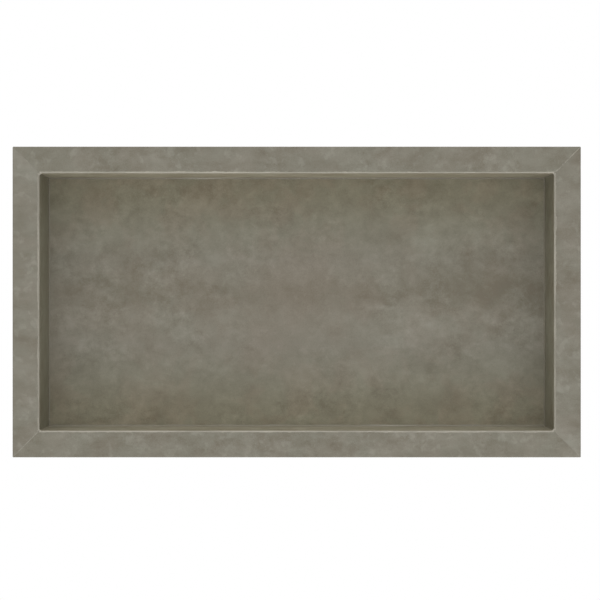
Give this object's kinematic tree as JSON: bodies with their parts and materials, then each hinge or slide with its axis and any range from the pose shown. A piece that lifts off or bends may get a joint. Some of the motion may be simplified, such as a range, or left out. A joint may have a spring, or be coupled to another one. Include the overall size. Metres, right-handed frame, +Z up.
{
  "type": "shower niche insert",
  "caption": "Recessed wall niche for a shower, glued from porcelain tile slabs: a back panel, mitred walls and a flat frame with a ground edge round the opening.",
  "frame": {"origin": "middle of the opening, in the plane of the finished wall, which is the back face of the frame", "axes": "+X right and +Z up for someone who faces the niche, +Y into the wall"},
  "size_m": [0.662, 0.079, 0.362],
  "materials": {
    "porcelain_tile": "satin",
    "pale_resin": "satin",
    "tile_coloured_resin": "satin"
  },
  "bodies": {
    "root": {"back_panel": "porcelain_tile", "wall_top": "porcelain_tile", "wall_bottom": "porcelain_tile", "wall_left": "porcelain_tile", "wall_right": "porcelain_tile", "frame_top": "porcelain_tile", "frame_bottom": "porcelain_tile", "frame_left": "porcelain_tile", "frame_right": "porcelain_tile", "back_panel_resin": "tile_coloured_resin", "corner_resin_top_left": "tile_coloured_resin", "corner_resin_top_right": "tile_coloured_resin", "corner_resin_bottom_left": "tile_coloured_resin", "corner_resin_bottom_right": "tile_coloured_resin", "mitre_resin_top_left": "tile_coloured_resin", "mitre_resin_top_right": "pale_resin", "mitre_resin_bottom_left": "pale_resin", "mitre_resin_bottom_right": "tile_coloured_resin", "arris_resin_top": "pale_resin", "arris_resin_bottom": "pale_resin", "arris_resin_left": "pale_resin", "arris_resin_right": "pale_resin"}
  },
  "joints": []
}
